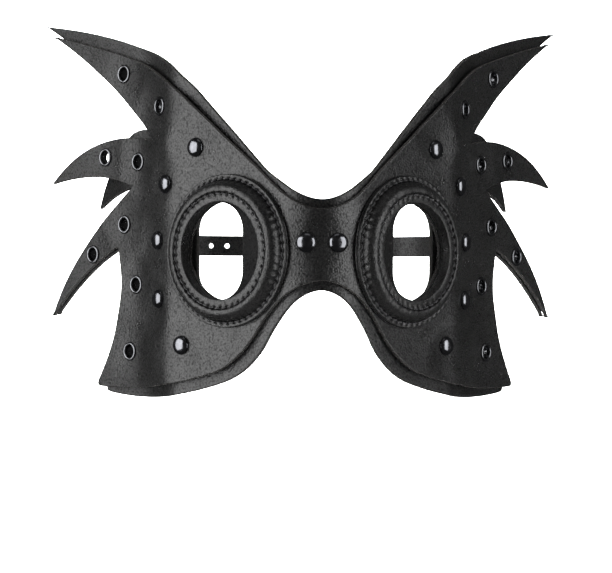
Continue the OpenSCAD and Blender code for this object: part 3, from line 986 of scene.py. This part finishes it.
def master(name, verts, faces):
    """A hidden pattern piece that node groups copy."""
    mesh = bpy.data.meshes.new(name)
    mesh.from_pydata([tuple(v * MM) for v in verts], [], [tuple(f) for f in faces])
    outward(mesh)
    mesh.shade_smooth()
    return bpy.data.objects.new(name, mesh)


def fasteners(name, pattern, places, material):
    """One piece with a copy of the pattern at each (side, place)."""
    carrier = bpy.data.meshes.new(name + "_points")
    spots = [stand(side, at) for side, at in places]
    carrier.from_pydata([spot.translation for spot in spots], [], [])
    facing = carrier.attributes.new("facing", "FLOAT_VECTOR", "POINT")
    facing.data.foreach_set("vector", [c for spot in spots for c in spot.to_3x3().col[2]])
    return grown(name, carrier, fastener_tree(), {"Fastener": pattern}, material)


# For each part: the material, its roughness, and how much lighter it is where it is rubbed
METALS = {
    "rivet": ("black_nickel_rivet_steel", 0.12, 0.4),
    "eyelet": ("black_nickel_eyelet_brass", 0.16, 0.35),
    "buckle": ("black_nickel_buckle_wire", 0.18, 0.4),
}


def metal_for(part):
    name, rough, wear = METALS[part]
    return material_named(name, plated_metal, getattr(settings("metal"), part + "_colour"), rough, wear)


class MASK_OT_rivets(bpy.types.Operator):
    """Set the bridge and side rivets"""

    bl_idname = "mask.rivets"
    bl_label = "Rivets"

    def execute(self, context):
        metal = metal_for("rivet")
        cap = master("cap_pattern", *solid_lathe(cap_profile(settings("metal").rivet_width / MM), 48))
        post = master("post_pattern", *solid_lathe(post_profile(STACK), 40))
        through_strap = STACK + STRAP_T + 2 * RUN_GAP
        long_post = master("long_post_pattern", *solid_lathe(post_profile(through_strap), 40))
        bridge = [(side, at) for side in SIDES.values() for at in BRIDGE_RIVETS]
        attach(fasteners("bridge_caps", cap, bridge, metal), "mask", "rivet_metal", "bridge_rivet_caps")
        attach(fasteners("bridge_posts", post, bridge, metal), "mask", "rivet_metal", "bridge_rivet_posts")
        for name, side in SIDES.items():
            own = [(side, at) for at in SIDE_RIVETS]
            caps = fasteners("side_caps_" + name, cap, own, metal)
            attach(caps, "mask", "rivet_metal", "side_rivet_caps_" + name)
            short = [(side, at) for i, at in enumerate(SIDE_RIVETS) if i != STRAP_RIVET]
            posts = fasteners("side_posts_" + name, post, short, metal)
            strap_post = fasteners("strap_post_" + name, long_post, [(side, SIDE_RIVETS[STRAP_RIVET])], metal)
            attach(posts, "mask", "rivet_metal", "side_rivet_posts_" + name)
            attach(strap_post, "mask", "rivet_metal", "side_rivet_posts_" + name)
        return {"FINISHED"}


class MASK_OT_eyelets(bpy.types.Operator):
    """Set the eyelets and their back washers"""

    bl_idname = "mask.eyelets"
    bl_label = "Eyelets"

    def execute(self, context):
        own = settings("metal")
        bore, width = own.eyelet_bore / MM, own.eyelet_width / MM
        parts = (("eyelets", eyelet_profile, "eyelets_"), ("washers", washer_profile, "eyelet_washers_"))
        for name, side in SIDES.items():
            for part, profile, node in parts:
                for label, depth, chosen in (("", STACK, False), ("_single", LEATHER_T, True)):
                    pattern = master(f"{part}{label}_pattern", *lathe(profile(bore, width, depth), 44))
                    spots = [(side, at) for i, at in enumerate(EYELETS) if (i == FRONT_ONLY) == chosen]
                    piece = fasteners(f"{part}{label}_{name}", pattern, spots, metal_for("eyelet"))
                    attach(piece, "mask", "eyelet_metal", node + name)
        return {"FINISHED"}


# ---- head strap -------------------------------------------------------------

STRAP_W = 12
STRAP_T = 2
STRAP_Z = SIDE_RIVETS[STRAP_RIVET][1]
RUN_GAP = 0.08
ARC_END = sum(bend[0] for bend in STRAP_BENDS[:4])
BAR_RUN = 25
TAIL_RUN = 13
WIRE = 2.5
BAR_TURN = WIRE / 2 + 0.1
BUCKLE_L = 18
FOLD_RIVET_X = 17
KEEPER_X = 9.2
KEEPER_W = 4
ARM_Z = STRAP_W / 2 + 2.6
RIVET_HOLE_STRAP = 1.62
TAIL_HOLE = 1.5
TAIL_HOLES_START = 16
TAIL_HOLES_PITCH = 10
FOLD_RUN = 22
PRONG_SLOT_RUN = 15
PRONG_SLOT_W = 3.6
START = wrap(SIDE_RIVETS[STRAP_RIVET][0], STRAP_Z, STACK + RUN_GAP)


def strap_point(s, z, d):
    """Point of the right strap at distance s from its rivet."""
    x, y, tilt = walk(STRAP_BENDS, max(0.0, s), 60)
    a = math.radians(tilt)
    if s < 0:
        x, y = s * math.cos(a), s * math.sin(a)
    return Vector((START.x + x - d * math.sin(a), START.y + y + d * math.cos(a), STRAP_Z + z))


BAR = strap_point(ARC_END + BAR_RUN, 0, 0) - Vector((0, BAR_TURN + STRAP_T, 0))


def fold_point(s, z, d):
    """Point of the right strap, which turns round the heel bar and lies back on itself."""
    turn = math.pi * (BAR_TURN + STRAP_T)
    over = s - ARC_END - BAR_RUN
    if over <= 0:
        return strap_point(s, z, d)
    r = BAR_TURN + STRAP_T - d
    if over < turn:
        a = math.pi / 2 + over / (BAR_TURN + STRAP_T)
        return BAR + Vector((r * math.cos(a), r * math.sin(a), z))
    run = over - turn
    climb = min(1.0, run / 9)
    rise = (2 * BAR_TURN - 0.05) * climb * climb * (3 - 2 * climb)
    return BAR + Vector((run, -r + rise, z))


def strap_outline(end, square):
    """Flat pattern of a strap: round over its rivet, round or square at the far end."""
    r = STRAP_W / 2
    points = [(r * math.cos(math.radians(a)), r * math.sin(math.radians(a))) for a in range(90, 271, 10)]
    if square:
        points += [(end - 1, -r), (end, 1 - r), (end, r - 1), (end - 1, r)]
    else:
        points += [(end - r + r * math.cos(math.radians(a)), r * math.sin(math.radians(a)))
                   for a in range(-90, 91, 10)]
    return points


class MASK_OT_straps(bpy.types.Operator):
    """Cut both straps and fold the right one round the buckle's heel bar"""

    bl_idname = "mask.straps"
    bl_label = "Straps"

    def execute(self, context):
        skin = leather_for("strap")
        tail = ARC_END + TAIL_RUN
        first = tail - TAIL_HOLES_START
        holes = [circle((0, 0), RIVET_HOLE_STRAP, 14)]
        holes += [circle((first - TAIL_HOLES_PITCH * i, 0), TAIL_HOLE, 14) for i in range(5)]
        left = leather_sheet("strap_tail_side", strap_outline(tail, False), holes,
                             lambda s, z, d: Vector((-1, 1, 1)) * strap_point(s, z, d), STRAP_T, skin, 1.6, 1)
        attach(left, "left_strap", "strap_leather", "strap_left")

        half_turn = math.pi * (BAR_TURN + STRAP_T)
        bar_at = ARC_END + BAR_RUN
        end = bar_at + half_turn + FOLD_RUN
        slot = slot_hole((bar_at + half_turn / 2, 0), half_turn + PRONG_SLOT_RUN, PRONG_SLOT_W, 60)
        rivet_at = (bar_at - FOLD_RIVET_X, bar_at + half_turn + FOLD_RIVET_X)
        holes = [circle((0, 0), RIVET_HOLE_STRAP, 14), slot]
        holes += [circle((at, 0), 1.2, 12) for at in rivet_at]
        right = leather_sheet("strap_buckle_side", strap_outline(end, True), holes, fold_point, STRAP_T,
                              skin, 1.4, 1)
        attach(right, "right_strap", "strap_leather", "strap_right")
        return {"FINISHED"}


def box_loop(low, high, half, radius, n=6):
    """Rounded rectangle of (y, z) points from low to high and to half each way."""
    points = []
    for corner in range(4):
        cy = high - radius if corner in (0, 3) else low + radius
        cz = half - radius if corner in (0, 1) else radius - half
        for k in range(n + 1):
            a = math.radians(90 * corner + 90 * k / n)
            points.append((cy + radius * math.cos(a), cz + radius * math.sin(a)))
    return points


def loop_band(name, inner, thickness, width, material):
    """A closed band of leather of (y, z) points round a strap, starting at x = 0."""
    inner = evenly(inner, 0.7)
    if area(inner) < 0:
        inner = inner[::-1]
    section = [(0.25, 0), (0, 0.25), (0, thickness - 0.3), (0.3, thickness), (width - 0.3, thickness),
               (width, thickness - 0.3), (width, 0.25), (width - 0.25, 0)]
    verts, faces = [], []
    for x, out in section:
        verts += [Vector((x, y, z)) for y, z in inset(inner, -out)]
    n, rows = len(inner), len(section)
    for i in range(rows):
        a, b = i * n, (i + 1) % rows * n
        faces += [(a + k, b + k, b + (k + 1) % n, a + (k + 1) % n) for k in range(n)]
    edge = [0.0 if 0 < x < width else 1.0 for x, _ in section for _ in range(n)]
    return new_piece(name, verts, faces, material, {"cut_edge": edge})


def wire_loop(path, radius, steps):
    """Points and faces of a round wire along a closed path in one upright plane."""
    verts, faces = [], []
    n = len(path)
    for i, p in enumerate(path):
        along = (path[(i + 1) % n] - path[i - 1]).normalized()
        side = along.cross(Vector((0, 1, 0))).normalized()
        for k in range(steps):
            a = math.tau * k / steps
            verts.append(p + radius * (math.cos(a) * side + math.sin(a) * Vector((0, 1, 0))))
    for i in range(n):
        a, b = i * steps, (i + 1) % n * steps
        faces += [(a + k, a + (k + 1) % steps, b + (k + 1) % steps, b + k) for k in range(steps)]
    return verts, faces


class MASK_OT_buckle(bpy.types.Operator):
    """Bend the buckle, and add its roller, prong, keeper and rivet"""

    bl_idname = "mask.buckle"
    bl_label = "Buckle"

    def execute(self, context):
        metal = metal_for("buckle")
        at_bar = Matrix.Translation((BAR + Vector((0, 0, STRAP_Z - BAR.z))) * MM)

        corner = 1.8
        bent = box_loop(-BUCKLE_L, 0, ARM_Z, corner, 7)
        path = [Vector((x, 0, z)) for x, z in evenly(bent, 0.9)]
        wire = shaped("buckle_wire", wire_loop(path, WIRE / 2, 20), at_bar, metal)
        attach(wire, "buckle", "buckle_metal", "buckle_frame")

        half, out, hole = (STRAP_W + 1) / 2, 2.1, WIRE / 2 + 0.06
        tube = [(hole, -half + 0.1), (hole, half - 0.1), (hole + 0.15, half), (out - 0.3, half),
                (out, half - 0.3), (out, 0), (out, 0.3 - half), (out - 0.3, -half), (hole + 0.15, -half)]
        at_front = Matrix.Translation(Vector((-BUCKLE_L, 0, 0)) * MM) @ at_bar
        roller = shaped("buckle_roller_tube", lathe(tube, 40), at_front, metal)
        attach(roller, "roller", "buckle_metal", "buckle_roller")

        prong = shaped("buckle_tongue", self.prong(), at_bar, metal)
        attach(prong, "prong", "buckle_metal", "buckle_prong")

        low = BAR_TURN - 0.05 - STRAP_T - 0.15
        high = BAR_TURN + 2 * STRAP_T + 0.6
        inner = box_loop(low, high, STRAP_W / 2 + 0.15, 0.8)
        keeper = loop_band("keeper_loop", inner, 1.2, KEEPER_W, leather_for("strap"))
        outward(keeper.data)
        keeper.data.transform(Matrix.Translation(Vector((KEEPER_X, 0, 0)) * MM) @ at_bar)
        attach(keeper, "right_strap", "strap_leather", "strap_keeper")

        size = 0.7
        face = Matrix.Translation(Vector((FOLD_RIVET_X, BAR_TURN + STRAP_T, 0)) * MM) @ at_bar
        small = face @ Matrix.Rotation(-math.pi / 2, 4, "X") @ Matrix.Scale(size, 4)
        built = solid_lathe(cap_profile(10), 40)
        cap = shaped("fold_rivet_cap", built, small, metal_for("rivet"))
        attach(cap, "right_strap", "rivet_metal", "buckle_rivet_cap")
        built = solid_lathe(post_profile((2 * STRAP_T + 0.05) / size), 36)
        post = shaped("fold_rivet_foot", built, small, metal_for("rivet"))
        attach(post, "right_strap", "rivet_metal", "buckle_rivet_post")
        return {"FINISHED"}

    def prong(self):
        """Points and faces of an eye round the heel bar and a shank that tapers over the roller."""
        hole, eye, half = WIRE / 2 + 0.06, WIRE / 2 + 1.2, 1.5
        ring = [(hole, 0.15 - half), (hole, half - 0.15), (hole + 0.2, half), (eye - 0.3, half),
                (eye, half - 0.3), (eye, 0.3 - half), (eye - 0.3, -half), (hole + 0.2, -half)]
        verts, faces = lathe(ring, 36)
        reach, lift, start = BUCKLE_L + 3, 3.2, 1.6
        first = len(verts)
        rows, steps = 18, 16
        for i in range(rows + 1):
            t = i / rows
            thin = 1.0 - 0.25 * t
            if i == rows:
                thin = 0.35
            x = -1.2 - (reach - 1.2) * t
            y = start + (lift - start) * min(1.0, -x / BUCKLE_L) - 0.25 * max(0.0, t - 0.9) * 4
            verts += [Vector((x, y + thin * math.cos(a), thin * 1.1 * math.sin(a)))
                      for a in [math.tau * k / steps for k in range(steps)]]
        for i in range(rows):
            a, b = first + i * steps, first + (i + 1) * steps
            faces += [(a + k, b + k, b + (k + 1) % steps, a + (k + 1) % steps) for k in range(steps)]
        faces.append([first + k for k in range(steps)])
        faces.append([first + rows * steps + k for k in reversed(range(steps))])
        return verts, faces


# ---- stage ------------------------------------------------------------------

# The camera stands 1 m in front of the bridge, a little to its left and level with the goggles
CAMERA_TURN = -4.2
CAMERA_ROLL = 0.3
CAMERA_DISTANCE = 1.0
BRIDGE_RIGHT = 0.0082
BRIDGE_UP = 0.022
LENS = 117.6

# Distance of both softboxes, and for each the degrees to the side of straight ahead, width and share of power
SOFTBOX_AWAY = 1.35
SOFTBOXES = {"left": (-72, 1.35, 1.5), "right": (60, 0.9, 0.95)}
TOP_SHARE = 0.06
WALL_WASH_POWER = 160
FLOOR_WASH_POWER = 120


def add_camera():
    data = bpy.data.cameras.new("camera")
    data.lens = LENS
    data.sensor_width = 36
    data.clip_end = 20
    camera = bpy.data.objects.new("camera", data)
    bpy.context.scene.collection.objects.link(camera)
    turn = math.radians(CAMERA_TURN)
    back = Vector((math.sin(turn), -math.cos(turn), 0))
    right = Vector((math.cos(turn), math.sin(turn), 0))
    up = Vector((0, 0, 1))
    roll = math.radians(CAMERA_ROLL)
    level, plumb = right, up
    right = math.cos(roll) * level + math.sin(roll) * plumb
    up = math.cos(roll) * plumb - math.sin(roll) * level
    place = Matrix((right, up, back)).transposed().to_4x4()
    place.translation = back * CAMERA_DISTANCE - right * BRIDGE_RIGHT - up * BRIDGE_UP
    place.translation += Vector((0, -STACK * MM, 0))
    camera.matrix_world = place
    bpy.context.scene.camera = camera


def softbox(name, place, aim, width, height, power, mirrored=True):
    """A rectangular light.  One that isn't mirrored leaves no highlight on the object."""
    data = bpy.data.lights.new(name, "AREA")
    data.shape = "RECTANGLE"
    data.size = width
    data.size_y = height
    data.energy = power
    light = bpy.data.objects.new(name, data)
    light.location = place
    light.rotation_euler = (Vector(aim) - Vector(place)).to_track_quat("-Z", "Y").to_euler()
    light.visible_glossy = mirrored
    bpy.context.scene.collection.objects.link(light)


def sweep_backdrop(floor, material):
    """Floor that curves up into a back wall."""
    front, back, radius, top, half = -4.0, 2.6, 0.8, 3.0, 5.0
    line = [(front, floor)]
    line += [(back - radius + radius * math.sin(a), floor + radius - radius * math.cos(a))
             for a in np.linspace(0, math.pi / 2, 16)]
    line.append((back, top))
    verts = [(x, y, z) for y, z in line for x in (-half, half)]
    faces = [(2 * i, 2 * i + 1, 2 * i + 3, 2 * i + 2) for i in range(len(line) - 1)]
    mesh = bpy.data.meshes.new("studio_sweep")
    mesh.from_pydata(verts, [], faces)
    mesh.shade_smooth()
    mesh.materials.append(material)
    sweep = bpy.data.objects.new("studio_sweep", mesh)
    bpy.context.scene.collection.objects.link(sweep)
    # Kept out of the leather's reflections, which would turn its dark sides grey
    sweep.visible_glossy = False


def white_room():
    """World: white to the eye, dim to the object, so black leather keeps its darks."""
    world = bpy.data.worlds.new("white_room")
    world.use_nodes = True
    tree = world.node_tree
    tree.nodes.clear()
    dim = add(tree, "ShaderNodeBackground", {"Color": (1, 1, 1, 1), "Strength": 0.035})
    white = add(tree, "ShaderNodeBackground", {"Color": (1, 1, 1, 1), "Strength": 1.0})
    seen = add(tree, "ShaderNodeLightPath").outputs["Is Camera Ray"]
    mix = add(tree, "ShaderNodeMixShader", {0: seen, 1: dim.outputs[0], 2: white.outputs[0]})
    add(tree, "ShaderNodeOutputWorld", {"Surface": mix.outputs[0]})
    bpy.context.scene.world = world


class MASK_OT_stage(bpy.types.Operator):
    """Set up the camera, the softboxes and the white sweep"""

    bl_idname = "mask.stage"
    bl_label = "Stage"

    def execute(self, context):
        own = settings("stage")
        context.scene.view_settings.view_transform = "Standard"
        add_camera()
        white_room()
        paint = material_named("matt_white_studio_paint", backdrop_paint, own.white)
        sweep_backdrop(own.floor_height, paint)
        aim = (0, 0.07, 0)
        for name, (turn, width, share) in SOFTBOXES.items():
            turn = math.radians(turn)
            place = (SOFTBOX_AWAY * math.sin(turn), -SOFTBOX_AWAY * math.cos(turn), 0.1)
            softbox("softbox_" + name, place, aim, width, 1.6, own.side_power * share)
        softbox("softbox_top", (0, -0.4, 1.6), aim, 1.0, 0.8, own.side_power * TOP_SHARE)
        for x in (-1.6, 1.6):
            softbox("wall_wash", (x, 1.2, 1.2), (x * 0.2, 2.6, 0.2), 1.0, 1.6, WALL_WASH_POWER, False)
        softbox("floor_wash", (0, 1.0, 1.8), (0, 1.5, -0.5), 2.0, 1.2, FLOOR_WASH_POWER, False)
        return {"FINISHED"}


# ---- panel and registration -------------------------------------------------

OPERATORS = (MASK_OT_stage, MASK_OT_front_layer, MASK_OT_back_layer, MASK_OT_eye_rings, MASK_OT_stitching,
             MASK_OT_rivets, MASK_OT_eyelets, MASK_OT_straps, MASK_OT_buckle)
SETTINGS = {"leather": MaskLeatherSettings, "ring": MaskRingSettings,
            "metal": MaskMetalSettings, "stage": MaskStageSettings}


class MASK_PT_build(bpy.types.Panel):
    bl_idname = "MASK_PT_build"
    bl_label = "Leather Goggle Mask"
    bl_space_type = "VIEW_3D"
    bl_region_type = "UI"
    bl_category = "Mask"

    def draw(self, context):
        layout = self.layout
        for name, group in SETTINGS.items():
            box = layout.box()
            box.label(text=name.capitalize())
            for key in group.__annotations__:
                box.prop(getattr(context.scene, "mask_" + name), key)
        column = layout.column(align=True)
        for operator in OPERATORS:
            column.operator(operator.bl_idname)


def register():
    for cls in (*SETTINGS.values(), *OPERATORS, MASK_PT_build):
        bpy.utils.register_class(cls)
    for name, group in SETTINGS.items():
        setattr(bpy.types.Scene, "mask_" + name, bpy.props.PointerProperty(type=group))


def unregister():
    for name in SETTINGS:
        delattr(bpy.types.Scene, "mask_" + name)
    for cls in reversed((*SETTINGS.values(), *OPERATORS, MASK_PT_build)):
        bpy.utils.unregister_class(cls)


def main():
    register()
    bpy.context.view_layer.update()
    bpy.ops.mask.stage()
    bpy.ops.mask.front_layer()
    bpy.ops.mask.back_layer()
    bpy.ops.mask.eye_rings()
    bpy.ops.mask.stitching()
    bpy.ops.mask.rivets()
    bpy.ops.mask.eyelets()
    bpy.ops.mask.straps()
    bpy.ops.mask.buckle()


if __name__ == "__main__":
    main()
